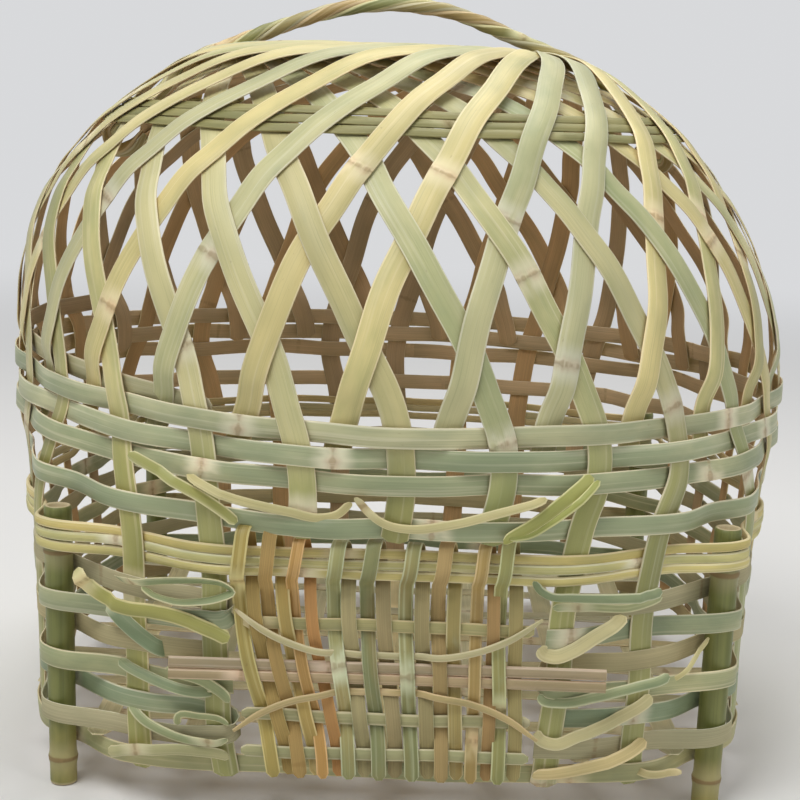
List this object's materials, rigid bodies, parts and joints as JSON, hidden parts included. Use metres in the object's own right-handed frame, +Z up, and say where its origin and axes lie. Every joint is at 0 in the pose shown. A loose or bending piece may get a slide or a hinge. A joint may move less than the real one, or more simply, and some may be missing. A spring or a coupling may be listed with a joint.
{
  "type": "bamboo chicken cage",
  "caption": "Domed cage woven from split bamboo on corner canes, with a mouth at the top, a twisted carrying handle and a bottom-opening door locked by a sliding bar.",
  "frame": {"origin": "centre of the cage's footprint, on the floor under the feet", "axes": "+Z up, the door faces -Y, +X to the right of someone looking at the door"},
  "size_m": [0.5642, 0.5654, 0.5235],
  "materials": {
    "dome_green": "bamboo skin, satin, pale yellow-green with cream node marks",
    "post_olive": "round bamboo cane, satin olive green with a brown node ring",
    "band_grey_green": "bamboo skin, satin, grey-green",
    "rail_tan": "stacked bamboo splints, matt",
    "weaver_green": "bamboo skin, satin, yellow-green",
    "hoop_yellow": "bamboo core, matt, pale yellow",
    "mat_pale": "bamboo core, matt, pale tan",
    "handle_tan": "twisted bamboo strand, matt tan",
    "door_yellow": "bamboo splint, satin, yellow-tan",
    "weft_pale": "bamboo splint, matt, pale tan",
    "bar_brown": "split bamboo slat, matt brown"
  },
  "bodies": {
    "cage": {"dome_strip_01": "dome_green", "dome_strip_02": "dome_green", "dome_strip_03": "dome_green", "dome_strip_04": "dome_green", "dome_strip_05": "dome_green", "dome_strip_06": "dome_green", "dome_strip_07": "dome_green", "dome_strip_08": "dome_green", "dome_strip_09": "dome_green", "dome_strip_10": "dome_green", "dome_strip_11": "dome_green", "dome_strip_12": "dome_green", "dome_strip_13": "dome_green", "dome_strip_14": "dome_green", "dome_strip_15": "dome_green", "dome_strip_16": "dome_green", "dome_strip_17": "dome_green", "dome_strip_18": "dome_green", "dome_strip_19": "dome_green", "dome_strip_20": "dome_green", "dome_strip_21": "dome_green", "dome_strip_22": "dome_green", "dome_strip_23": "dome_green", "dome_strip_24": "dome_green", "dome_strip_25": "dome_green", "dome_strip_26": "dome_green", "dome_strip_27": "dome_green", "dome_strip_28": "dome_green", "corner_post_1": "post_olive", "corner_post_2": "post_olive", "corner_post_3": "post_olive", "corner_post_4": "post_olive", "shoulder_band_1": "band_grey_green", "shoulder_band_2": "band_grey_green", "shoulder_band_3": "band_grey_green", "shoulder_band_4": "band_grey_green", "header_rail": "rail_tan", "wall_weaver_1": "weaver_green", "wall_weaver_2": "weaver_green", "wall_weaver_3": "weaver_green", "sill_weaver": "weaver_green", "top_hoop": "hoop_yellow", "floor_mat": "mat_pale", "handle_strand_1": "handle_tan", "handle_strand_2": "handle_tan"},
    "door": {"door_strip_1": "door_yellow", "door_strip_2": "door_yellow", "door_strip_3": "door_yellow", "door_strip_4": "door_yellow", "door_strip_5": "door_yellow", "door_strip_6": "door_yellow", "door_strip_7": "door_yellow", "door_strip_8": "door_yellow", "door_strip_9": "door_yellow", "door_weft_1": "weft_pale", "door_weft_2": "weft_pale", "door_weft_3": "weft_pale", "door_bow_1": "weft_pale", "door_bow_2": "weft_pale"},
    "lock_bar": {"lock_bar": "bar_brown"}
  },
  "joints": [
    {"name": "door_swing", "type": "hinge", "parent": "cage", "child": "door", "pos_m": [0, -0.26554, 0.17185], "axis": [-1, 0, 0], "range_deg": [0, 75]},
    {"name": "bar_slide", "type": "slide", "parent": "door", "child": "lock_bar", "axis": [1, 0, 0], "range_m": [-0.19, 0.19]}
  ]
}
